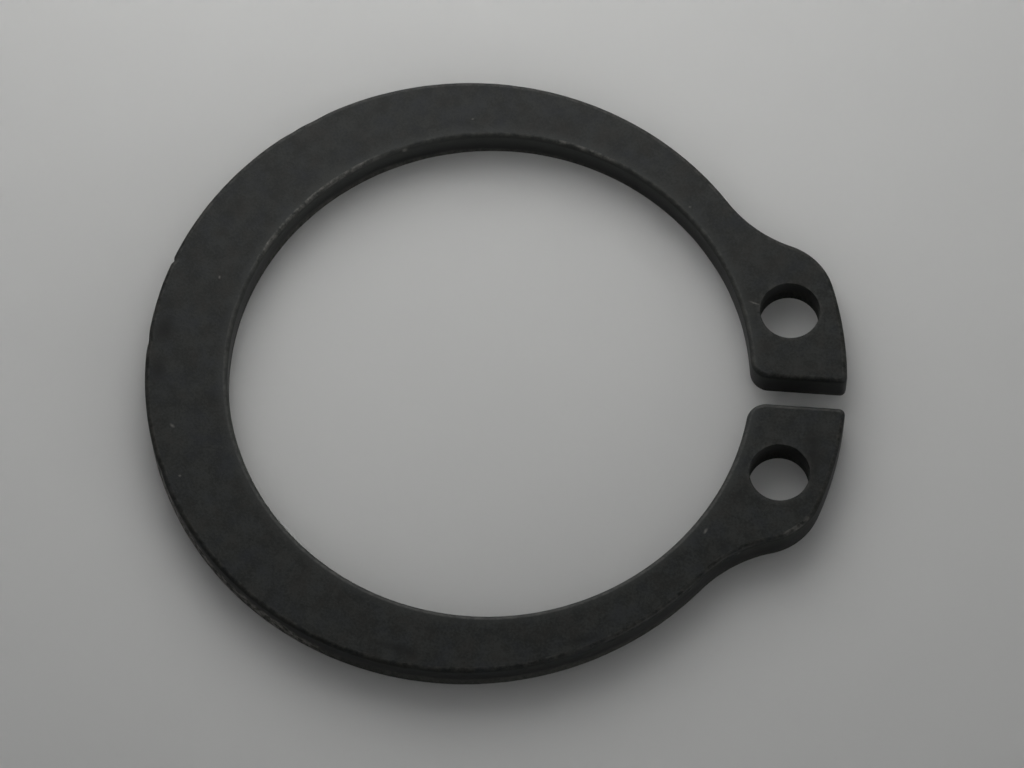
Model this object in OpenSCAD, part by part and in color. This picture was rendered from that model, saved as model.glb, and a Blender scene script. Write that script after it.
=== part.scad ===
// External retaining ring for a shaft, stamped from spring steel strip in one piece.
// Bore axis on Z, underside on z = 0, rolled edges up, gap towards +X. Millimetres.

/* [Band] */
// Bore of the relaxed ring
bore_d = 14.55; // [12:0.05:20]
// Thickness of the strip
thickness = 1.0; // [0.7:0.05:1.5]
// Radial width of the band opposite the gap, where it is widest
back_width = 2.32; // [1.8:0.01:3]
// Radial width the taper would come to at the gap, were there no lugs
front_width = 1.08; // [0.8:0.01:1.4]

/* [Plier holes] */
// Diameter of a plier hole
hole_d = 1.65; // [1.3:0.05:2.2]
// Metal between a plier hole and the bore
hole_inner_wall = 0.49; // [0.3:0.01:0.7]
// Metal between a plier hole and the lug's outer edge
hole_outer_wall = 0.54; // [0.35:0.01:0.8]
// Metal between a plier hole and the lug's end face
hole_end_wall = 1.24; // [0.8:0.01:1.6]

/* [Lugs] */
// Length of a lug's outer edge between the hole's centre line and the shoulder
shoulder_lead = 0.51; // [0.3:0.01:1]
// Radius of the rounded shoulder
shoulder_r = 1.85; // [1.5:0.05:2.4]
// Radius of the hollow neck between shoulder and band
neck_r = 3.8; // [2.5:0.1:5]

/* [Gap] */
// Width between the lugs' end faces
gap = 0.78; // [0.5:0.01:1.2]
// Rounding of the lug ends at the bore
gap_inner_r = 0.55; // [0.3:0.05:0.7]
// Rounding of the lug ends at the outer edge, measured on the flat top
gap_outer_r = 0.05; // [0.03:0.01:0.2]

/* [Stamped edges] */
// Width and depth of the rolled edge round the outline
edge_roll = 0.13; // [0.08:0.01:0.17]
// Width and depth of the rolled edge round a plier hole
hole_roll = 0.02; // [0.01:0.01:0.06]

/* [Hidden] */
$fn = 160;

steel = [0.19, 0.195, 0.19];

// A rolled edge is an arc whose centre lies deeper than a quarter round's by this share of its width,
// so that it meets the top and the wall at a slight angle
roll_share = 0.25;
// Neighbouring arcs of the outline pass each other by this much, so that each crosses the next cleanly
lap = 0.003;
// Shapes run this far past the strip's faces, and the strip trims them
beyond = 1;

bore_r = bore_d / 2;
// The outer edge is a circle set back from the bore axis, which makes the taper
band_r = bore_r + (back_width + front_width) / 2;
band_shift = (back_width - front_width) / 2;
band_centre = [-band_shift, 0];

function polar(r, a) = r * [cos(a), sin(a)];

// Point that lies a from p and b from q, on the left of the way from p to q
function meet(p, a, q, b) =
    let (way = q - p, far = norm(way), u = way / far)
    let (along = (a * a - b * b + far * far) / (2 * far))
    let (off = sqrt(a * a - along * along))
    p + along * u + off * [-u[1], u[0]];

// A lug is as long as its plier hole and the metal on either side of it
hole_r = hole_d / 2;
hole_at_r = bore_r + hole_inner_wall + hole_r;
hole_angle = asin((gap / 2 + hole_end_wall + hole_r) / hole_at_r);
hole_place = polar(hole_at_r, hole_angle);
lug_r = hole_at_r + hole_r + hole_outer_wall;

// The shoulder touches the lug's outer edge from inside, the neck touches shoulder and band from outside
shoulder_angle = hole_angle + shoulder_lead / lug_r * 180 / PI;
shoulder = polar(lug_r - shoulder_r, shoulder_angle);
neck = meet(band_centre, band_r + neck_r, shoulder, shoulder_r + neck_r);

// Centres of the lug end's roundings, each tangent to the gap face and to its arc
inner_y = gap / 2 + gap_inner_r;
inner_x = sqrt(pow(bore_r + gap_inner_r, 2) - pow(inner_y, 2));
inner_angle = atan2(inner_y, inner_x);
outer_r = gap_outer_r + edge_roll;
outer_y = gap / 2 + outer_r;
outer_x = sqrt(pow(lug_r - outer_r, 2) - pow(outer_y, 2));
outer_angle = atan2(outer_y, outer_x);

// What a rolled edge takes off a corner that stands at the origin, with the material to the lower left
module roll_off(roll) {
    over = roll_share * roll;
    difference() {
        translate([-roll - over / 2, -roll - over / 2])
            square(roll + 3 * beyond);
        translate([-roll - over, -roll - over])
            circle(r = norm([roll + over, over]));
    }
}

// Half section of a disc with a rolled edge
module rolled_section(r) {
    difference() {
        translate([0, -beyond])
            square([r, thickness + 2 * beyond]);
        translate([r, thickness])
            roll_off(edge_roll);
    }
}

// Disc with a rolled edge
module rolled_disc(centre, r) {
    translate([centre[0], centre[1], 0])
        rotate_extrude()
            rolled_section(r);
}

// What a round opening takes away, with the rolled edge at its rim
module rolled_opening(centre, r, roll) {
    translate([centre[0], centre[1], 0])
        rotate_extrude()
            union() {
                translate([0, -2 * beyond])
                    square([r, thickness + 4 * beyond]);
                intersection() {
                    translate([r, thickness])
                        mirror([1, 0])
                            roll_off(roll);
                    translate([r / 2, 0])
                        square([r, thickness + 2 * beyond]);
                }
            }
}

// What the gap takes away, with the rolled edge along both faces
module rolled_slot(length) {
    rotate([90, 0, 90])
        linear_extrude(height = length)
            union() {
                translate([-gap / 2, -2 * beyond])
                    square([gap, thickness + 4 * beyond]);
                for (side = [0, 1])
                    mirror([side, 0])
                        intersection() {
                            translate([gap / 2, thickness])
                                mirror([1, 0])
                                    roll_off(edge_roll);
                            square([gap, thickness + 2 * beyond]);
                        }
            }
}

// What the rounding of a corner takes away: a prism over the corner, less the rounded end left standing
module corner_off(centre, r, corner) {
    difference() {
        translate([0, 0, -beyond / 2])
            linear_extrude(height = thickness + beyond)
                polygon(corner);
        rolled_disc(centre, r + lap);
    }
}

// Shoulder and neck of one lug
module lug_flank() {
    rolled_disc(shoulder, shoulder_r + lap);
    difference() {
        translate([0, 0, -beyond])
            linear_extrude(height = thickness + 2 * beyond)
                polygon([band_centre, [0, 0], shoulder, neck]);
        rolled_opening(neck, neck_r, edge_roll);
    }
}

// Roundings of one lug's end, at the bore and at the outer edge
module lug_end() {
    inner = [inner_x, inner_y];
    outer = [outer_x, outer_y];
    corner_off(inner, gap_inner_r, [
        inner,
        polar(bore_r - gap / 4, inner_angle),
        [bore_r - gap / 4, gap / 4],
        [inner_x, gap / 4]
    ]);
    corner_off(outer, outer_r, [
        outer,
        [outer_x, gap / 4],
        [lug_r + gap / 4, gap / 4],
        polar(lug_r + gap / 4, outer_angle)
    ]);
}

// The whole outline, before the bore, the gap and the plier holes are cut
module blank() {
    rolled_disc(band_centre, band_r + lap);
    rotate([0, 0, -shoulder_angle])
        rotate_extrude(angle = 2 * shoulder_angle)
            rolled_section(lug_r);
    for (side = [0, 1])
        mirror([0, side, 0])
            lug_flank();
}

// The strip that the ring is stamped from: what lies above and below it is no part of the ring
module strip() {
    side = 4 * lug_r;
    translate([-side / 2, -side / 2, 0])
        cube([side, side, thickness]);
}

module retaining_ring() {
    color(steel)
        intersection() {
            difference() {
                blank();
                rolled_opening([0, 0], bore_r, edge_roll);
                rolled_slot(lug_r + beyond);
                for (side = [0, 1])
                    mirror([0, side, 0]) {
                        lug_end();
                        rolled_opening(hole_place, hole_r, hole_roll);
                    }
            }
            strip();
        }
}

retaining_ring();
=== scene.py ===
"""External retaining ring for a shaft, dressed as the black stamping that it is.

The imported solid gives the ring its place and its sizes. The same outline is drawn again here with the edges
that a press leaves on spring steel: a rolled rim on top, a smooth sheared land under it, and a torn, slightly
undercut zone below that. Sizes are in millimetres, and a mesh turns to metres once, when it is finished.
"""

import logging
import math
from collections.abc import Mapping
from dataclasses import dataclass
from enum import Enum
from typing import Any

import bmesh
import bpy
from mathutils import Matrix, Vector, noise

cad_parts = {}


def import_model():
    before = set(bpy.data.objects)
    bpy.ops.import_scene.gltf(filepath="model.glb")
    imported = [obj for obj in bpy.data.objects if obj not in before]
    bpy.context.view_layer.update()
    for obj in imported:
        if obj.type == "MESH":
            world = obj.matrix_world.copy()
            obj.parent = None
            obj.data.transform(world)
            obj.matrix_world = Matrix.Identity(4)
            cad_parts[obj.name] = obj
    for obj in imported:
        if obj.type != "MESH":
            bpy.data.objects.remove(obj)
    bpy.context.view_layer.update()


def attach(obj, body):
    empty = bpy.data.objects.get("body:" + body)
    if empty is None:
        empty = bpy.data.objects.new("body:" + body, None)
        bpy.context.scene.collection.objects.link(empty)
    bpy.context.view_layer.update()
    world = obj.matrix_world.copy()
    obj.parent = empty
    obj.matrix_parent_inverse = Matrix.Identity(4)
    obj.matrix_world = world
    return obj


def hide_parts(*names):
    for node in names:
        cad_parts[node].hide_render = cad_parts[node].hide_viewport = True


LOG = logging.getLogger("retaining_ring")

MM = 0.001
ORIGIN = Vector((0.0, 0.0, 0.0))
UP = Vector((0.0, 0.0, 1.0))

# Perlin noise is nil on whole numbers, so flat patterns are read between two of its levels
NOISE_LEVEL = 0.37

# A face is flat, and not a wall, where more than this share of its normal is upright
FLAT_SHARE = 0.5

# Sockets of a Mix node: its factor, then both inputs and the mix, first for colours and then for values
MIX_FACTOR = "Factor"
COLOUR_A = 6
COLOUR_B = 7
COLOUR_MIX = 2
VALUE_A = 2
VALUE_B = 3
VALUE_MIX = 0

# Share of a colour that goes over what lies under it, and the colour's sRGB hex code
Layer = tuple[bpy.types.NodeSocket, str]


class Zone(Enum):
    """Marks of making and handling, each kept in the mesh as an attribute of this name."""

    SHEARED = "sheared"
    TORN = "torn"
    RUBBED = "rubbed"


class Rim(Enum):
    """The edges that the press cuts."""

    BORE = "bore"
    OUTER = "outer"
    HOLE = "hole"


def linear(code: str) -> tuple[float, float, float, float]:
    """Turn an sRGB hex colour to linear light.

    Args:
        code: Colour as # and six hex digits.

    Returns:
        Red, green, blue and a full alpha.
    """
    shares = [int(code[start : start + 2], 16) / 255 for start in (1, 3, 5)]
    # The numbers are those of the sRGB standard
    red, green, blue = (s / 12.92 if s <= 0.04045 else ((s + 0.055) / 1.055) ** 2.4 for s in shares)
    return red, green, blue, 1.0


def per_metre(size: float) -> float:
    """Scale of a pattern whose features are this many millimetres wide."""
    return 1.0 / (size * MM)


def polar(radius: float, angle: float) -> Vector:
    """Point in the plane at a radius and an angle in radians."""
    return Vector((radius * math.cos(angle), radius * math.sin(angle), 0.0))


def bearing(way: Vector) -> float:
    """Angle in radians of a direction in the plane."""
    return math.atan2(way.y, way.x)


def meet(first: Vector, first_far: float, second: Vector, second_far: float) -> Vector:
    """Find the point at given distances from two centres, on the left of the way from one to the other.

    Args:
        first: First centre.
        first_far: Distance from the first centre.
        second: Second centre.
        second_far: Distance from the second centre.

    Returns:
        The point, in the plane.
    """
    way = second - first
    along = (first_far * first_far - second_far * second_far + way.length_squared) / (2 * way.length)
    off = math.sqrt(first_far * first_far - along * along)
    unit = way.normalized()
    return first + along * unit + off * Vector((-unit.y, unit.x, 0.0))


def ease(value: float, low: float, high: float) -> float:
    """Smooth step from 0 at low to 1 at high."""
    share = min(max((value - low) / (high - low), 0.0), 1.0)
    return share * share * (3.0 - 2.0 * share)


def unevenness(place: Vector, size: float, level: float = NOISE_LEVEL) -> float:
    """Read noise from 0 to 1 at a place.

    Args:
        place: Where it is read; only x and y count.
        size: Width of its features, in the same unit.
        level: Third coordinate, which tells one pattern from another.

    Returns:
        The noise there.
    """
    return 0.5 + 0.5 * noise.noise(Vector((place.x / size, place.y / size, level)))


def outward(vert: bmesh.types.BMVert) -> Vector:
    """Find the level direction out of the steel at a vertex on a cut wall.

    Args:
        vert: The vertex.

    Returns:
        The direction, of length 1.
    """
    total = Vector((0.0, 0.0, 0.0))
    for face in vert.link_faces:
        total += Vector((face.normal.x, face.normal.y, 0.0))
    return total.normalized()


def round_over(bm: bmesh.types.BMesh, edges: list[bmesh.types.BMEdge], size: float, rows: int) -> None:
    """Round edges off.

    Args:
        bm: Mesh that holds the edges.
        edges: The edges.
        size: How far the rounding goes into the faces beside them.
        rows: Rows of faces across the rounding.
    """
    bmesh.ops.bevel(
        bm,
        geom=edges,
        offset=size,
        offset_type="OFFSET",
        affect="EDGES",
        segments=rows,
        profile=0.5,
        clamp_overlap=False,
        loop_slide=True,
        material=-1,
    )


def add_node(
    tree: bpy.types.NodeTree,
    kind: str,
    settings: Mapping[str, Any] | None = None,
    feeds: Mapping[str | int, Any] | None = None,
) -> bpy.types.Node:
    """Add a node, set its properties and feed its sockets.

    Args:
        tree: Node tree that takes the node.
        kind: Blender's type name of the node.
        settings: Properties of the node, by name.
        feeds: What goes into its inputs, by name or place: a socket to link from, or a value.

    Returns:
        The new node.
    """
    node = tree.nodes.new(kind)
    for name, value in (settings or {}).items():
        setattr(node, name, value)
    for socket, feed in (feeds or {}).items():
        if isinstance(feed, bpy.types.NodeSocket):
            tree.links.new(feed, node.inputs[socket])
        else:
            node.inputs[socket].default_value = feed
    return node


def blank_material(name: str) -> bpy.types.Material:
    """Make a material with an empty node tree.

    Args:
        name: Name of the material.

    Returns:
        The new material.
    """
    material = bpy.data.materials.new(name)
    material.use_nodes = True
    material.node_tree.nodes.clear()
    return material


def make_object(bm: bmesh.types.BMesh, name: str) -> bpy.types.Object:
    """Turn a bmesh in millimetres into a smooth-shaded object in metres at the origin.

    Normals are weighed by the area of the faces, so a wide flat face stays flat up to a narrow rounded edge.

    Args:
        bm: The finished mesh, which is freed.
        name: Name of the object and of its mesh.

    Returns:
        The new object, linked to the scene.
    """
    bmesh.ops.scale(bm, vec=Vector((MM, MM, MM)), verts=bm.verts[:])
    bm.normal_update()
    normals = []
    for vert in bm.verts:
        total = Vector((0.0, 0.0, 0.0))
        for face in vert.link_faces:
            total += face.calc_area() * face.normal
        normals.append(total.normalized())
    mesh = bpy.data.meshes.new(name)
    bm.to_mesh(mesh)
    bm.free()
    mesh.shade_smooth()
    mesh.normals_split_custom_set_from_vertices(normals)
    made = bpy.data.objects.new(name, mesh)
    bpy.context.scene.collection.objects.link(made)
    return made


@dataclass(frozen=True)
class Fleck:
    """A small oval patch on the ring's surface.

    Attributes:
        place: Middle of the patch, in the ring's frame.
        reach: How far it goes, along it and across it.
        turn: Angle of its length from +X, in degrees.
        strength: Share of the patch's colour in its middle.
    """

    place: tuple[float, float, float]
    reach: tuple[float, float]
    turn: float
    strength: float


@dataclass(frozen=True)
class PhosphatedSpringSteel:
    """Manganese phosphate on stamped spring steel, grown in a bath and then oiled.

    The bath grows a skin of fine dark crystals. It scatters light, so the steel looks matt and nearly black,
    with a faint cloudiness where the crystals are coarser. Sheared walls were burnished by the die and stay
    smoother and darker, torn walls are coarse and paler, and rubbed rims show the bare steel.
    """

    # The bore slides along the shaft, which wears the coat thin beside it
    bore_radius: float
    name: str = "spring_steel_phosphated_and_oiled"
    coat_dark: str = "#1a1c1a"
    coat_pale: str = "#2e302e"
    coat_warm: str = "#2b2824"
    coat_cool: str = "#24272d"
    polished: str = "#3e403e"
    oil_dark: str = "#0d0e0d"
    sheared: str = "#1b1c1c"
    torn_dark: str = "#2e2f2d"
    torn_pale: str = "#4d4e4a"
    bare: str = "#a09d97"
    dust: str = "#8d8b85"
    coat_roughness: float = 0.5
    sheared_roughness: float = 0.42
    torn_roughness: float = 0.7
    bare_roughness: float = 0.4
    # The porous coat mirrors less light than a solid skin would
    coat_specular: float = 0.16
    # Each range gives the noise at which a mark is nil and the noise at which it is full
    cloud_size: float = 0.42
    cloud_range: tuple[float, float] = (0.3, 0.7)
    tint_size: float = 0.6
    tint_strength: float = 0.5
    warm_range: tuple[float, float] = (0.5, 0.8)
    cool_range: tuple[float, float] = (0.5, 0.2)
    polish_width: float = 0.45
    polish_strength: float = 0.55
    # Phosphate crystals are about 0.01 mm, too fine to show, so the grain is drawn at 0.07 mm
    grain_size: float = 0.07
    grain_range: tuple[float, float] = (0.3, 0.7)
    grain_relief: float = 0.0035
    # How strongly the grain speckles the clouds, and how far it changes the roughness
    grain_speckle: float = 1.3
    grain_roughness: float = 0.06
    pit_size: float = 0.22
    pit_relief: float = 0.006
    # Share of the pits' depth where a wall isn't torn
    pit_share: float = 0.4
    streak_size: float = 0.1
    streak_length: float = 0.2
    streak_range: tuple[float, float] = (0.3, 0.72)
    rub_break_size: float = 0.2
    rub_break_range: tuple[float, float] = (0.4, 0.62)
    fray_size: float = 0.06
    fray_depth: float = 0.05
    smudges: tuple[Fleck, ...] = (
        Fleck((-9.15, 0.58, 1.0), (0.55, 0.4), 80.0, 0.85),
        Fleck((-9.2, -0.65, 1.0), (0.65, 0.35), 85.0, 0.7),
        Fleck((3.1, -7.8, 1.0), (0.65, 0.2), 22.0, 0.7),
        Fleck((6.85, -4.77, 1.0), (0.4, 0.22), 55.0, 0.5),
        Fleck((9.12, -1.8, 1.0), (1.3, 0.35), 91.0, 0.6),
        Fleck((-1.75, -8.4, 1.0), (0.9, 0.22), -12.0, 0.7),
    )
    specks: tuple[Fleck, ...] = (
        Fleck((-7.78, 2.31, 1.0), (0.07, 0.05), 90.0, 0.45),
        Fleck((-8.62, -2.3, 1.0), (0.12, 0.06), -40.0, 0.4),
        Fleck((-8.25, -3.78, 1.0), (0.06, 0.05), 0.0, 0.4),
        Fleck((5.23, 5.45, 1.0), (0.06, 0.05), 0.0, 0.35),
        Fleck((6.31, -4.35, 1.0), (0.13, 0.06), 60.0, 0.45),
        Fleck((7.22, 2.61, 1.0), (0.22, 0.035), -17.0, 0.4),
        Fleck((7.24, -4.87, 0.85), (0.08, 0.06), 0.0, 0.35),
        Fleck((-2.95, 6.67, 0.93), (0.12, 0.06), 20.0, 0.5),
        Fleck((-1.1, 7.76, 1.0), (0.05, 0.04), 0.0, 0.35),
    )

    def make(self) -> bpy.types.Material:
        """Build the material.

        Returns:
            The material, ready to be given to a piece.
        """
        material = blank_material(self.name)
        tree = material.node_tree
        place = add_node(tree, "ShaderNodeTexCoord").outputs["Object"]
        marks = {
            zone: add_node(tree, "ShaderNodeAttribute", {"attribute_name": zone.value}).outputs["Fac"]
            for zone in Zone
        }
        grain = add_node(
            tree,
            "ShaderNodeTexNoise",
            feeds={"Vector": place, "Scale": per_metre(self.grain_size), "Detail": 3.0, "Roughness": 0.65},
        ).outputs["Fac"]
        bared = self.bared_share(tree, place, marks[Zone.RUBBED])
        layers = [
            *self.coat_layers(tree, place, grain),
            *self.wall_layers(tree, place, marks),
            *self.fleck_layers(tree, place),
            (bared, self.bare),
        ]
        colour: Any = linear(self.coat_dark)
        for share, code in layers:
            colour = add_node(
                tree,
                "ShaderNodeMix",
                {"data_type": "RGBA"},
                {MIX_FACTOR: share, COLOUR_A: colour, COLOUR_B: linear(code)},
            ).outputs[COLOUR_MIX]
        shader = add_node(
            tree,
            "ShaderNodeBsdfPrincipled",
            feeds={
                "Base Color": colour,
                "Metallic": bared,
                "Roughness": self.roughness(tree, grain, bared, marks),
                "Specular IOR Level": self.coat_specular,
                "Normal": self.relief(tree, place, grain, marks),
            },
        )
        add_node(tree, "ShaderNodeOutputMaterial", feeds={"Surface": shader.outputs["BSDF"]})
        return material

    def coat_layers(
        self, tree: bpy.types.NodeTree, place: bpy.types.NodeSocket, grain: bpy.types.NodeSocket
    ) -> list[Layer]:
        """Cloud the black of the coat, tint it warm here and cool there, and thin it beside the bore.

        Args:
            tree: Node tree that takes the nodes.
            place: Socket with the place on the piece.
            grain: Socket with the crystal grain.

        Returns:
            Layers that go over the dark of the coat.
        """
        cloud = add_node(
            tree,
            "ShaderNodeTexNoise",
            feeds={"Vector": place, "Scale": per_metre(self.cloud_size), "Detail": 4.0, "Roughness": 0.6},
        )
        tint = add_node(
            tree,
            "ShaderNodeTexNoise",
            feeds={"Vector": place, "Scale": per_metre(self.tint_size), "Detail": 2.0},
        )
        speckled = add_node(
            tree,
            "ShaderNodeMath",
            {"operation": "MULTIPLY_ADD"},
            {0: grain, 1: self.grain_speckle, 2: -self.grain_speckle / 2},
        )
        clouded = add_node(
            tree, "ShaderNodeMath", {"operation": "ADD"}, {0: cloud.outputs["Fac"], 1: speckled.outputs[0]}
        )
        layers = []
        for value, (low, high), strength, code in (
            (clouded.outputs[0], self.cloud_range, 1.0, self.coat_pale),
            (tint.outputs["Fac"], self.warm_range, self.tint_strength, self.coat_warm),
            (tint.outputs["Fac"], self.cool_range, self.tint_strength, self.coat_cool),
        ):
            share = add_node(
                tree,
                "ShaderNodeMapRange",
                feeds={"Value": value, "From Min": low, "From Max": high, "To Max": strength},
            )
            layers.append((share.outputs[0], code))
        level = add_node(
            tree, "ShaderNodeVectorMath", {"operation": "MULTIPLY"}, {0: place, 1: (1.0, 1.0, 0.0)}
        )
        far = add_node(tree, "ShaderNodeVectorMath", {"operation": "LENGTH"}, {0: level.outputs["Vector"]})
        polish = add_node(
            tree,
            "ShaderNodeMapRange",
            {"interpolation_type": "SMOOTHSTEP"},
            {
                "Value": far.outputs["Value"],
                "From Min": self.bore_radius * MM,
                "From Max": (self.bore_radius + self.polish_width) * MM,
                "To Min": self.polish_strength,
                "To Max": 0.0,
            },
        )
        layers.append((polish.outputs[0], self.polished))
        return layers

    def wall_layers(
        self,
        tree: bpy.types.NodeTree,
        place: bpy.types.NodeSocket,
        marks: Mapping[Zone, bpy.types.NodeSocket],
    ) -> list[Layer]:
        """Darken the sheared walls, and streak the torn ones from top to bottom.

        Args:
            tree: Node tree that takes the nodes.
            place: Socket with the place on the piece.
            marks: Sockets with the shares of the zones.

        Returns:
            Layers that go over the coat.
        """
        drawn = add_node(
            tree,
            "ShaderNodeMapping",
            feeds={
                "Vector": place,
                "Scale": (per_metre(self.streak_size),) * 2 + (per_metre(self.streak_length),),
            },
        )
        streak = add_node(
            tree,
            "ShaderNodeTexNoise",
            feeds={"Vector": drawn.outputs["Vector"], "Scale": 1.0, "Detail": 3.0, "Roughness": 0.7},
        )
        low, high = self.streak_range
        paleness = add_node(
            tree,
            "ShaderNodeMapRange",
            feeds={"Value": streak.outputs["Fac"], "From Min": low, "From Max": high},
        )
        pale = add_node(
            tree, "ShaderNodeMath", {"operation": "MULTIPLY"}, {0: paleness.outputs[0], 1: marks[Zone.TORN]}
        )
        return [
            (marks[Zone.SHEARED], self.sheared),
            (marks[Zone.TORN], self.torn_dark),
            (pale.outputs[0], self.torn_pale),
        ]

    def fleck_layers(self, tree: bpy.types.NodeTree, place: bpy.types.NodeSocket) -> list[Layer]:
        """Soak oil into the coat in patches, and leave a few frayed specks of dust on it.

        Args:
            tree: Node tree that takes the nodes.
            place: Socket with the place on the piece.

        Returns:
            Layers that go over the coat.
        """
        fray = add_node(
            tree,
            "ShaderNodeTexNoise",
            feeds={"Vector": place, "Scale": per_metre(self.fray_size), "Detail": 2.0},
        )
        mean_noise = (0.5, 0.5, 0.5)
        centred = add_node(
            tree,
            "ShaderNodeVectorMath",
            {"operation": "SUBTRACT"},
            {0: fray.outputs["Color"], 1: mean_noise},
        )
        frayed = add_node(
            tree,
            "ShaderNodeVectorMath",
            {"operation": "MULTIPLY_ADD"},
            {0: centred.outputs["Vector"], 1: (self.fray_depth * MM,) * 3, 2: place},
        )
        layers = []
        for code, flecks in ((self.oil_dark, self.smudges), (self.dust, self.specks)):
            for fleck in flecks:
                along, across = fleck.reach
                oval = add_node(
                    tree,
                    "ShaderNodeMapping",
                    {"vector_type": "TEXTURE"},
                    {
                        "Vector": frayed.outputs["Vector"],
                        "Location": MM * Vector(fleck.place),
                        "Rotation": (0.0, 0.0, math.radians(fleck.turn)),
                        "Scale": (along * MM, across * MM, along * MM),
                    },
                )
                far = add_node(
                    tree, "ShaderNodeVectorMath", {"operation": "LENGTH"}, {0: oval.outputs["Vector"]}
                )
                share = add_node(
                    tree,
                    "ShaderNodeMapRange",
                    {"interpolation_type": "SMOOTHSTEP"},
                    {"Value": far.outputs["Value"], "To Min": fleck.strength, "To Max": 0.0},
                )
                layers.append((share.outputs[0], code))
        return layers

    def bared_share(
        self, tree: bpy.types.NodeTree, place: bpy.types.NodeSocket, rubbed: bpy.types.NodeSocket
    ) -> bpy.types.NodeSocket:
        """Break the rubbed rims up, so that bare steel shows in short runs.

        Args:
            tree: Node tree that takes the nodes.
            place: Socket with the place on the piece.
            rubbed: Socket with how far the coat is rubbed.

        Returns:
            Socket with the share of bare steel.
        """
        broken = add_node(
            tree,
            "ShaderNodeTexNoise",
            feeds={"Vector": place, "Scale": per_metre(self.rub_break_size), "Detail": 4.0, "Roughness": 0.7},
        )
        low, high = self.rub_break_range
        runs = add_node(
            tree,
            "ShaderNodeMapRange",
            feeds={"Value": broken.outputs["Fac"], "From Min": low, "From Max": high},
        )
        share = add_node(
            tree,
            "ShaderNodeMath",
            {"operation": "MULTIPLY", "use_clamp": True},
            {0: rubbed, 1: runs.outputs[0]},
        )
        return share.outputs[0]

    def roughness(
        self,
        tree: bpy.types.NodeTree,
        grain: bpy.types.NodeSocket,
        bared: bpy.types.NodeSocket,
        marks: Mapping[Zone, bpy.types.NodeSocket],
    ) -> bpy.types.NodeSocket:
        """Give each zone its own roughness, uneven with the grain.

        Args:
            tree: Node tree that takes the nodes.
            grain: Socket with the crystal grain.
            bared: Socket with the share of bare steel.
            marks: Sockets with the shares of the zones.

        Returns:
            Socket with the roughness.
        """
        low, high = self.grain_range
        rough = add_node(
            tree,
            "ShaderNodeMapRange",
            feeds={
                "Value": grain,
                "From Min": low,
                "From Max": high,
                "To Min": self.coat_roughness - self.grain_roughness,
                "To Max": self.coat_roughness + self.grain_roughness,
            },
        ).outputs[0]
        for share, value in (
            (marks[Zone.SHEARED], self.sheared_roughness),
            (marks[Zone.TORN], self.torn_roughness),
            (bared, self.bare_roughness),
        ):
            rough = add_node(
                tree,
                "ShaderNodeMix",
                {"data_type": "FLOAT"},
                {MIX_FACTOR: share, VALUE_A: rough, VALUE_B: value},
            ).outputs[VALUE_MIX]
        return rough

    def relief(
        self,
        tree: bpy.types.NodeTree,
        place: bpy.types.NodeSocket,
        grain: bpy.types.NodeSocket,
        marks: Mapping[Zone, bpy.types.NodeSocket],
    ) -> bpy.types.NodeSocket:
        """Raise the grain and sink shallow pits, deeper where the wall is torn.

        Args:
            tree: Node tree that takes the nodes.
            place: Socket with the place on the piece.
            grain: Socket with the crystal grain.
            marks: Sockets with the shares of the zones.

        Returns:
            Socket with the normal.
        """
        pits = add_node(
            tree,
            "ShaderNodeTexNoise",
            feeds={"Vector": place, "Scale": per_metre(self.pit_size), "Detail": 3.0},
        )
        depth = add_node(
            tree,
            "ShaderNodeMath",
            {"operation": "MULTIPLY_ADD"},
            {0: marks[Zone.TORN], 1: 1.0 - self.pit_share, 2: self.pit_share},
        )
        pitted = add_node(
            tree,
            "ShaderNodeBump",
            feeds={
                "Strength": depth.outputs[0],
                "Distance": self.pit_relief * MM,
                "Height": pits.outputs["Fac"],
            },
        )
        grained = add_node(
            tree,
            "ShaderNodeBump",
            feeds={"Distance": self.grain_relief * MM, "Height": grain, "Normal": pitted.outputs["Normal"]},
        )
        return grained.outputs["Normal"]


@dataclass(frozen=True)
class Nick:
    """A knock in the outer edge at the top.

    Attributes:
        place: Where it is on the outline.
        depth: How deep it goes into the steel.
        reach: How far it spreads along the edge.
    """

    place: tuple[float, float]
    depth: float
    reach: float

    def depth_at(self, point: Vector) -> float:
        """Depth of the knock at a point on the outline."""
        far = math.hypot(point.x - self.place[0], point.y - self.place[1])
        return self.depth * math.exp(-((far / self.reach) ** 2))


@dataclass(frozen=True)
class Rub:
    """A stretch of edge where handling has worn the coat.

    Attributes:
        rim: Which edge.
        middle: Angle of its middle about the bore axis, in degrees.
        spread: Half its length, in degrees.
        strength: How far the coat is worn, from 0 to 1.
        zone: SHEARED for the rolled rim at the top of the wall, TORN for the coarse wall under it.
        full_share: Part of the spread over which the wear is full.
    """

    rim: Rim
    middle: float
    spread: float
    strength: float
    zone: Zone
    full_share: float = 0.6

    def share_at(self, point: Vector) -> float:
        """Wear at a point on that edge."""
        turn = (math.degrees(bearing(point)) - self.middle + 180.0) % 360.0 - 180.0
        return self.strength * (1.0 - ease(abs(turn), self.full_share * self.spread, self.spread))


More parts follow.
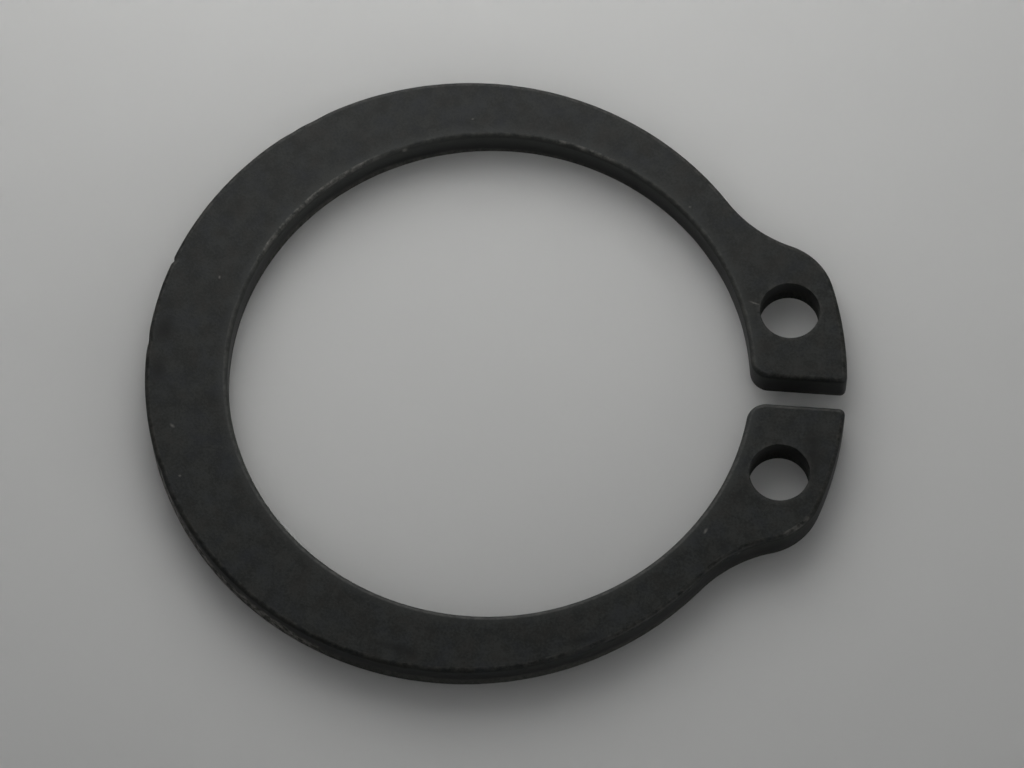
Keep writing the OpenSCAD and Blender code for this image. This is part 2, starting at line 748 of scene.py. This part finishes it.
@dataclass
class RetainingRing:
    """The ring: a tapered band that ends in two lugs with plier holes.

    Its outline is a chain of arcs that touch each other, with a straight face at the gap.
    """

    bore_radius: float = 7.275
    thickness: float = 1.0
    back_width: float = 2.32
    front_width: float = 1.08
    hole_radius: float = 0.825
    hole_inner_wall: float = 0.49
    hole_outer_wall: float = 0.54
    hole_end_wall: float = 1.24
    shoulder_lead: float = 0.51
    shoulder_radius: float = 1.85
    neck_radius: float = 3.8
    gap: float = 0.78
    gap_inner_radius: float = 0.55
    # Most of this corner lies in the roll, and 0.05 of it is left on the flat
    gap_outer_radius: float = 0.18
    edge_roll: float = 0.13
    edge_roll_rows: int = 6
    hole_roll: float = 0.02
    hole_roll_rows: int = 2
    under_break: float = 0.008
    under_break_rows: int = 2
    outline_step: float = 0.05
    wall_rows: int = 14
    rim_support: float = 0.15
    wander_depth: float = 0.004
    wander_length: float = 1.6
    ripple_depth: float = 0.003
    ripple_length: float = 0.33
    # The bore is shaved clean nearly to its foot
    bore_tear_height: float = 0.2
    outer_tear_height: float = 0.42
    hole_tear_height: float = 0.5
    # The die's clearance is uneven, so the outline is torn higher up at the back than at the lugs
    tear_tilt: float = 0.8
    # Shares of its height by which the tear line drifts and is jagged
    tear_drift: float = 0.44
    tear_drift_length: float = 2.6
    tear_drift_level: float = 4.2
    tear_jag: float = 0.2
    tear_jag_length: float = 0.3
    tear_jag_level: float = 7.7
    # Half the height over which the torn zone gives way to the sheared one
    tear_blur: float = 0.08
    tear_step: float = 0.002
    bore_taper: float = 0.012
    tear_wave: float = 0.006
    tear_wave_length: float = 0.9
    tear_wave_level: float = 2.6
    tear_rough: float = 0.006
    tear_rough_length: float = 0.13
    # Tears run further along the wall's height than along its length
    tear_stretch: float = 0.3
    nicks: tuple[Nick, ...] = (
        Nick((-9.17, 2.76), 0.05, 0.07),
        Nick((-9.57, 0.24), 0.03, 0.2),
        Nick((-5.64, 7.44), 0.028, 0.35),
        Nick((-8.82, -3.65), 0.03, 0.2),
        Nick((-6.2, 7.03), 0.02, 0.25),
    )
    rubs: tuple[Rub, ...] = (
        Rub(Rim.BORE, 139.0, 24.0, 0.36, Zone.SHEARED),
        Rub(Rim.BORE, 73.0, 9.0, 0.3, Zone.SHEARED),
        Rub(Rim.BORE, 100.0, 80.0, 0.12, Zone.TORN),
        Rub(Rim.OUTER, -143.0, 34.0, 0.85, Zone.TORN),
        Rub(Rim.OUTER, -24.5, 3.0, 0.3, Zone.SHEARED),
    )
    # Wear that handling leaves on every rolled rim
    everyday_rub: float = 0.1
    # Wear of a rolled rim begins, is full and fades into the flat at these shares of the roll's height
    rub_start: float = 0.4
    rub_full: float = 0.9
    rub_fade: float = 0.97
    # Share of wear that is gone where the roll meets the flat
    rub_fade_share: float = 0.3
    # The punch burnishes the plier holes less than the die does the outline
    hole_burnish: float = 0.2

    @property
    def hole_place(self) -> Vector:
        """Middle of the plier hole on the +Y side."""
        radius = self.bore_radius + self.hole_inner_wall + self.hole_radius
        across = self.gap / 2 + self.hole_end_wall + self.hole_radius
        return polar(radius, math.asin(across / radius))

    @property
    def hole_places(self) -> tuple[Vector, Vector]:
        """Middles of both plier holes."""
        place = self.hole_place
        return place, Vector((place.x, -place.y, 0.0))

    @property
    def lug_radius(self) -> float:
        """Radius of the lugs' outer edge."""
        return self.hole_place.length + self.hole_radius + self.hole_outer_wall

    def build(self) -> bpy.types.Object:
        """Model the ring.

        Returns:
            The ring as one closed mesh.
        """
        bm = bmesh.new()
        for zone in Zone:
            bm.verts.layers.float.new(zone.value)
        self.draw_outline(bm)
        self.raise_blank(bm)
        self.knock_edges(bm)
        self.roll_edges(bm)
        self.tear_walls(bm)
        self.rub_rims(bm)
        self.break_under_edges(bm)
        bmesh.ops.recalc_face_normals(bm, faces=bm.faces[:])
        return make_object(bm, "stamped_ring")

    def arc(
        self, bm: bmesh.types.BMesh, tip: bmesh.types.BMVert, centre: Vector, turn: float
    ) -> bmesh.types.BMVert:
        """Carry the outline on along an arc by spinning its last vertex.

        Args:
            bm: Mesh that holds the outline.
            tip: Last vertex so far.
            centre: Centre of the arc.
            turn: Angle of the arc in radians, anticlockwise where positive.

        Returns:
            The new last vertex.
        """
        fewest = 8
        steps = max(fewest, round(abs(turn) * (tip.co - centre).length / self.outline_step))
        made = bmesh.ops.spin(
            bm, geom=[tip], cent=centre, axis=UP, angle=turn, steps=steps, use_duplicate=False
        )
        return next(part for part in made["geom_last"] if isinstance(part, bmesh.types.BMVert))

    def straight(self, bm: bmesh.types.BMesh, tip: bmesh.types.BMVert, way: Vector) -> bmesh.types.BMVert:
        """Carry the outline on along a straight line.

        Args:
            bm: Mesh that holds the outline.
            tip: Last vertex so far.
            way: From there to the line's end.

        Returns:
            The new last vertex.
        """
        steps = round(way.length / self.outline_step)
        made = bmesh.ops.spin(
            bm,
            geom=[tip],
            cent=ORIGIN,
            axis=UP,
            dvec=way / steps,
            angle=0.0,
            steps=steps,
            use_duplicate=False,
        )
        return next(part for part in made["geom_last"] if isinstance(part, bmesh.types.BMVert))

    def draw_outline(self, bm: bmesh.types.BMesh) -> None:
        """Draw the cut lines in the plane: half the outline, its mirror image, and the plier holes.

        Args:
            bm: Mesh that takes the lines.
        """
        band_radius = self.bore_radius + (self.back_width + self.front_width) / 2
        band_centre = Vector(((self.front_width - self.back_width) / 2, 0.0, 0.0))
        lug_radius = self.lug_radius
        shoulder_angle = bearing(self.hole_place) + self.shoulder_lead / lug_radius
        shoulder = polar(lug_radius - self.shoulder_radius, shoulder_angle)
        neck = meet(
            band_centre, band_radius + self.neck_radius, shoulder, self.shoulder_radius + self.neck_radius
        )
        inner_y = self.gap / 2 + self.gap_inner_radius
        inner_far = self.bore_radius + self.gap_inner_radius
        inner = Vector((math.sqrt(inner_far**2 - inner_y**2), inner_y, 0.0))
        outer_y = self.gap / 2 + self.gap_outer_radius
        outer_far = lug_radius - self.gap_outer_radius
        outer = Vector((math.sqrt(outer_far**2 - outer_y**2), outer_y, 0.0))
        half = math.pi
        quarter = half / 2
        neck_turn = (bearing(shoulder - neck) - bearing(band_centre - neck)) % (2 * half)

        tip = bm.verts.new((-self.bore_radius, 0.0, 0.0))
        tip = self.arc(bm, tip, ORIGIN, bearing(inner) - half)
        tip = self.arc(bm, tip, inner, quarter - bearing(inner))
        tip = self.straight(bm, tip, Vector((outer.x - inner.x, 0.0, 0.0)))
        tip = self.arc(bm, tip, outer, quarter + bearing(outer))
        tip = self.arc(bm, tip, ORIGIN, shoulder_angle - bearing(outer))
        tip = self.arc(bm, tip, shoulder, bearing(neck - shoulder) - shoulder_angle)
        tip = self.arc(bm, tip, neck, -neck_turn)
        self.arc(bm, tip, band_centre, half - bearing(neck - band_centre))
        weld = 0.001
        bmesh.ops.mirror(
            bm, geom=bm.verts[:] + bm.edges[:], matrix=Matrix.Identity(4), merge_dist=weld, axis="Y"
        )
        for place in self.hole_places:
            bmesh.ops.create_circle(
                bm,
                cap_ends=False,
                radius=self.hole_radius,
                segments=round(2 * half * self.hole_radius / self.outline_step),
                matrix=Matrix.Translation(place),
            )

    def raise_blank(self, bm: bmesh.types.BMesh) -> None:
        """Fill the cut lines and raise the face to the strip's thickness.

        Args:
            bm: Mesh that holds the cut lines.
        """
        bmesh.ops.triangle_fill(bm, use_beauty=True, use_dissolve=False, edges=bm.edges[:], normal=UP)
        made = bmesh.ops.extrude_face_region(bm, geom=bm.faces[:], use_keep_orig=True)
        raised = [part for part in made["geom"] if isinstance(part, bmesh.types.BMVert)]
        bmesh.ops.translate(bm, vec=self.thickness * UP, verts=raised)
        bmesh.ops.recalc_face_normals(bm, faces=bm.faces[:])

    def knock_edges(self, bm: bmesh.types.BMesh) -> None:
        """Let the cut edges wander a little inside the true arcs, and dent the top ones where they were hit.

        Args:
            bm: Mesh of the raised blank, with all its vertices on the cut edges.
        """
        moves = []
        for vert in bm.verts:
            inset = self.wander_depth * unevenness(vert.co, self.wander_length)
            inset += self.ripple_depth * unevenness(vert.co, self.ripple_length)
            if vert.co.z > self.thickness / 2:
                inset += sum(nick.depth_at(vert.co) for nick in self.nicks)
            moves.append((vert, -inset * outward(vert)))
        for vert, move in moves:
            vert.co += move
        bm.normal_update()

    def rim_of(self, point: Vector) -> Rim:
        """Tell which cut edge a point on the mesh belongs to.

        Args:
            point: The point, near a cut edge.

        Returns:
            The edge.
        """
        flat = Vector((point.x, point.y, 0.0))
        if any((flat - place).length < self.hole_radius + self.edge_roll for place in self.hole_places):
            return Rim.HOLE
        if flat.length < self.bore_radius + 2 * self.edge_roll:
            return Rim.BORE
        return Rim.OUTER

    def rim_edges(
        self, bm: bmesh.types.BMesh, side: float
    ) -> tuple[list[bmesh.types.BMEdge], list[bmesh.types.BMEdge]]:
        """Find the edges where the walls meet a flat face.

        Args:
            bm: Mesh of the blank.
            side: 1 for the top, -1 for the underside.

        Returns:
            The edges of the outline, and those of the plier holes.
        """
        outline: list[bmesh.types.BMEdge] = []
        holes: list[bmesh.types.BMEdge] = []
        for edge in bm.edges:
            tilts = sorted(side * face.normal.z for face in edge.link_faces)
            if len(tilts) == 2 and abs(tilts[0]) < FLAT_SHARE < tilts[1]:
                middle = (edge.verts[0].co + edge.verts[1].co) / 2
                rim = holes if self.rim_of(middle) is Rim.HOLE else outline
                rim.append(edge)
        return outline, holes

    def roll_edges(self, bm: bmesh.types.BMesh) -> None:
        """Round the top edges over, as the die drags them down, and cut the walls into rows.

        Both flat faces get a narrow border first, which keeps them flat up to the edges.

        Args:
            bm: Mesh of the blank.
        """
        for side in (1.0, -1.0):
            flat = [face for face in bm.faces if side * face.normal.z > FLAT_SHARE]
            bmesh.ops.inset_region(
                bm, faces=flat, thickness=self.rim_support, use_even_offset=True, use_boundary=True
            )
        outline, holes = self.rim_edges(bm, 1.0)
        round_over(bm, outline, self.edge_roll, self.edge_roll_rows)
        round_over(bm, holes, self.hole_roll, self.hole_roll_rows)
        half = self.thickness / 2
        tall = [edge for edge in bm.edges if abs(edge.verts[0].co.z - edge.verts[1].co.z) > half]
        bmesh.ops.subdivide_edges(bm, edges=tall, cuts=self.wall_rows - 1, use_grid_fill=True)
        bm.normal_update()

    def tear_line(self, point: Vector, rim: Rim) -> float:
        """Find how far up a wall is torn.

        Args:
            point: Where on the wall; only x and y count.
            rim: Which cut edge the wall belongs to.

        Returns:
            Height of the tear line there.
        """
        drift = 2 * unevenness(point, self.tear_drift_length, self.tear_drift_level) - 1.0
        jag = 2 * unevenness(point, self.tear_jag_length, self.tear_jag_level) - 1.0
        uneven = 1.0 + self.tear_drift * drift + self.tear_jag * jag
        if rim is Rim.HOLE:
            return self.hole_tear_height * uneven
        height = self.bore_tear_height if rim is Rim.BORE else self.outer_tear_height
        return height * uneven * (1.0 - self.tear_tilt * point.x / self.lug_radius)

    def tear_walls(self, bm: bmesh.types.BMesh) -> None:
        """Mark the sheared land on the walls and roughen the torn zone under it.

        Args:
            bm: Mesh of the blank with rolled edges and rows on its walls.
        """
        sheared = bm.verts.layers.float[Zone.SHEARED.value]
        torn = bm.verts.layers.float[Zone.TORN.value]
        # A vertex lies on a flat where all its faces' normals are more upright than this
        level = 0.9
        blur = self.tear_blur
        rough_length = self.tear_rough_length
        moves = []
        for vert in bm.verts:
            if not any(abs(face.normal.z) < level for face in vert.link_faces):
                continue
            rim = self.rim_of(vert.co)
            roll = self.hole_roll if rim is Rim.HOLE else self.edge_roll
            far = math.hypot(vert.co.x, vert.co.y) - self.bore_radius
            taper = self.bore_taper * (1.0 - ease(far, 0.0, self.hole_inner_wall))
            line = self.tear_line(vert.co, rim)
            share = 1.0 - ease(vert.co.z, line - blur, line + blur)
            vert[torn] = share
            burnish = self.hole_burnish if rim is Rim.HOLE else 1.0
            fade = ease(vert.co.z, line, max(line + blur, self.thickness - roll))
            vert[sheared] = burnish * (1.0 - share) * (1.0 - fade)
            under = max(line - vert.co.z, 0.0) / line
            coarse = unevenness(vert.co, rough_length, self.tear_stretch * vert.co.z / rough_length)
            wave = unevenness(vert.co, self.tear_wave_length, self.tear_wave_level)
            inset = self.tear_step + self.tear_rough * coarse + under * (taper + self.tear_wave * wave)
            moves.append((vert, -share * inset * outward(vert)))
        for vert, move in moves:
            vert.co += move
        bm.normal_update()

    def rub_rims(self, bm: bmesh.types.BMesh) -> None:
        """Mark where the coat is worn: on the rolled rims, and in patches on the torn walls.

        Args:
            bm: Mesh of the ring with its walls torn.
        """
        rubbed = bm.verts.layers.float[Zone.RUBBED.value]
        torn = bm.verts.layers.float[Zone.TORN.value]
        # A vertex lies inside a flat's border where all its faces' normals are more upright than this
        level = 0.9999
        for vert in bm.verts:
            if not any(abs(face.normal.z) < level for face in vert.link_faces):
                continue
            rim = self.rim_of(vert.co)
            roll = self.hole_roll if rim is Rim.HOLE else self.edge_roll
            height = (vert.co.z - self.thickness + roll) / roll
            fade = 1.0 - self.rub_fade_share * ease(height, self.rub_fade, 1.0)
            crest = ease(height, self.rub_start, self.rub_full) * fade
            worn = {Zone.SHEARED: self.everyday_rub, Zone.TORN: 0.0}
            for rub in self.rubs:
                if rub.rim is rim:
                    worn[rub.zone] = max(worn[rub.zone], rub.share_at(vert.co))
            vert[rubbed] = max(crest * worn[Zone.SHEARED], vert[torn] * worn[Zone.TORN])

    def break_under_edges(self, bm: bmesh.types.BMesh) -> None:
        """Take the sharpness off the lower edges, as tumbling does.

        Args:
            bm: Mesh of the ring.
        """
        outline, holes = self.rim_edges(bm, -1.0)
        round_over(bm, outline + holes, self.under_break, self.under_break_rows)

    def dress(self, ring: bpy.types.Object, finish: PhosphatedSpringSteel) -> None:
        """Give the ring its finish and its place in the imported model.

        Args:
            ring: The finished mesh.
            finish: What the ring is made of.
        """
        ring.data.materials.append(finish.make())
        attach(ring, "root")
        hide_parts("retaining_ring")


@dataclass(frozen=True)
class OpalAcrylic:
    """Matt opal acrylic sheet: pale, and cloudy inside, so that light creeps under the edge of a shadow."""

    name: str = "acrylic_sheet_opal_matt"
    pale: str = "#d8d8d6"
    shade: str = "#d3d3d1"
    cloud_size: float = 14.0
    sheet_roughness: float = 0.6
    sheet_specular: float = 0.2
    # How far light spreads inside the sheet
    creep: float = 4.0

    def make(self) -> bpy.types.Material:
        """Build the material.

        Returns:
            The material, ready to be given to the floor.
        """
        material = blank_material(self.name)
        tree = material.node_tree
        place = add_node(tree, "ShaderNodeTexCoord").outputs["Object"]
        cloud = add_node(
            tree, "ShaderNodeTexNoise", feeds={"Vector": place, "Scale": per_metre(self.cloud_size)}
        )
        colour = add_node(
            tree,
            "ShaderNodeMix",
            {"data_type": "RGBA"},
            {MIX_FACTOR: cloud.outputs["Fac"], COLOUR_A: linear(self.pale), COLOUR_B: linear(self.shade)},
        )
        shader = add_node(
            tree,
            "ShaderNodeBsdfPrincipled",
            {"subsurface_method": "BURLEY"},
            {
                "Base Color": colour.outputs[COLOUR_MIX],
                "Roughness": self.sheet_roughness,
                "Specular IOR Level": self.sheet_specular,
                "Subsurface Weight": 1.0,
                "Subsurface Radius": (1.0, 1.0, 1.0),
                "Subsurface Scale": self.creep * MM,
            },
        )
        add_node(tree, "ShaderNodeOutputMaterial", feeds={"Surface": shader.outputs["BSDF"]})
        return material


@dataclass(frozen=True)
class Softbox:
    """A square area light that faces the ring.

    Attributes:
        name: What it is called.
        azimuth: Where it stands about the ring, in degrees from +X.
        elevation: How high it stands, in degrees.
        distance: How far it is from the ring.
        side: Length of its side.
        power: Its power in watts.
    """

    name: str
    azimuth: float
    elevation: float
    distance: float
    side: float
    power: float

    def place(self, aim: Vector) -> None:
        """Set the light up.

        Args:
            aim: Point that it faces, in metres.
        """
        data = bpy.data.lights.new(self.name, "AREA")
        data.shape = "SQUARE"
        data.size = self.side * MM
        data.energy = self.power
        light = bpy.data.objects.new(self.name, data)
        bpy.context.scene.collection.objects.link(light)
        level = polar(math.cos(math.radians(self.elevation)), math.radians(self.azimuth))
        way = level + math.sin(math.radians(self.elevation)) * UP
        light.location = aim + self.distance * MM * way
        light.rotation_euler = way.to_track_quat("Z", "Y").to_euler()


@dataclass
class Studio:
    """Pale floor, soft light from behind, weak light from above and low on the right, and a dim room."""

    floor_side: float = 3000.0
    floor_cells: int = 8
    # The floor lies a little below the ring, so that the two share no plane
    floor_gap: float = 0.004
    room: str = "#f2f4f7"
    # Strength of the room's light from the viewer's side and from the far side
    near_strength: float = 0.03
    far_strength: float = 0.15
    lights: tuple[Softbox, ...] = (
        Softbox("key_softbox", 101.0, 42.0, 52.0, 43.0, 0.0188),
        Softbox("top_softbox", 180.0, 84.0, 170.0, 120.0, 0.012),
        Softbox("side_softbox", -38.0, 11.0, 150.0, 54.0, 0.042),
    )

    def build(self, finish: OpalAcrylic, aim: Vector) -> bpy.types.Object:
        """Set up the floor, the lights and the room.

        Args:
            finish: What the floor is made of.
            aim: Point that the lights face, in metres.

        Returns:
            The floor.
        """
        bm = bmesh.new()
        cells = self.floor_cells
        bmesh.ops.create_grid(bm, x_segments=cells, y_segments=cells, size=self.floor_side / 2)
        bmesh.ops.translate(bm, vec=-self.floor_gap * UP, verts=bm.verts[:])
        floor = make_object(bm, "floor")
        floor.data.materials.append(finish.make())
        for light in self.lights:
            light.place(aim)
        bpy.context.scene.world = self.room_light()
        return floor

    def room_light(self) -> bpy.types.World:
        """Light from the room, which fades towards the viewer.

        Returns:
            The world.
        """
        world = bpy.data.worlds.new("room")
        world.use_nodes = True
        tree = world.node_tree
        tree.nodes.clear()
        way = add_node(tree, "ShaderNodeTexCoord").outputs["Generated"]
        depth = add_node(tree, "ShaderNodeSeparateXYZ", feeds={"Vector": way}).outputs["Y"]
        strength = add_node(
            tree,
            "ShaderNodeMapRange",
            feeds={
                "Value": depth,
                "From Min": -1.0,
                "From Max": 1.0,
                "To Min": self.near_strength,
                "To Max": self.far_strength,
            },
        )
        glow = add_node(
            tree, "ShaderNodeBackground", feeds={"Color": linear(self.room), "Strength": strength.outputs[0]}
        )
        add_node(tree, "ShaderNodeOutputWorld", feeds={"Surface": glow.outputs["Background"]})
        return world


@dataclass
class Viewpoint:
    """A long lens that looks down on the ring from the front.

    Attributes:
        elevation: How steeply it looks down, in degrees.
        turn: How far it stands round from the -Y side, in degrees.
        roll: How far it is turned about its own axis, in degrees.
        distance: How far it is from the middle of the picture.
        aim: Point in the middle of the picture, in the ring's frame.
        focal_pixels: Focal length, in pixels of the picture.
        image_width: Width of the picture, in pixels.
        sensor_width: Width of the sensor.
    """

    elevation: float = 66.3
    turn: float = 6.4
    roll: float = -1.98
    distance: float = 145.5
    aim: tuple[float, float, float] = (0.617, 0.084, 0.0)
    focal_pixels: float = 5200.0
    image_width: float = 1024.0
    sensor_width: float = 36.0

    @property
    def aim_point(self) -> Vector:
        """Point in the middle of the picture, in metres."""
        return MM * Vector(self.aim)

    def build(self) -> bpy.types.Object:
        """Set the camera up and make it the scene's own.

        Returns:
            The camera.
        """
        data = bpy.data.cameras.new("viewpoint")
        data.sensor_width = self.sensor_width
        data.lens = self.focal_pixels / self.image_width * self.sensor_width
        camera = bpy.data.objects.new("viewpoint", data)
        bpy.context.scene.collection.objects.link(camera)
        turn = math.radians(self.turn)
        tilt = math.radians(self.elevation)
        roll = math.radians(self.roll)
        level = polar(math.cos(tilt), turn + math.pi / 2)
        ahead = level - math.sin(tilt) * UP
        across = polar(1.0, turn)
        above = across.cross(ahead)
        right = math.cos(roll) * across + math.sin(roll) * above
        top = math.cos(roll) * above - math.sin(roll) * across
        back = -ahead
        place = self.aim_point + self.distance * MM * back
        camera.matrix_world = Matrix(
            (
                (right.x, top.x, back.x, place.x),
                (right.y, top.y, back.y, place.y),
                (right.z, top.z, back.z, place.z),
                (0.0, 0.0, 0.0, 1.0),
            )
        )
        data.clip_start = MM
        bpy.context.scene.camera = camera
        return camera


def report_piece(piece: bpy.types.Object) -> None:
    """Log a piece's name and how much mesh it has."""
    LOG.info("%s: %d vertices, %d faces", piece.name, len(piece.data.vertices), len(piece.data.polygons))


def main() -> None:
    """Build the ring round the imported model, and the studio round the ring."""
    logging.basicConfig(level=logging.INFO, format="%(name)s: %(message)s")
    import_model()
    viewpoint = Viewpoint()
    camera = viewpoint.build()
    LOG.info("%s: lens %.1f mm", camera.name, camera.data.lens)
    ring = RetainingRing()
    piece = ring.build()
    ring.dress(piece, PhosphatedSpringSteel(ring.bore_radius))
    report_piece(piece)
    floor = Studio().build(OpalAcrylic(), viewpoint.aim_point)
    report_piece(floor)
    bpy.context.scene.view_settings.view_transform = "Standard"


if __name__ == "__main__":
    main()
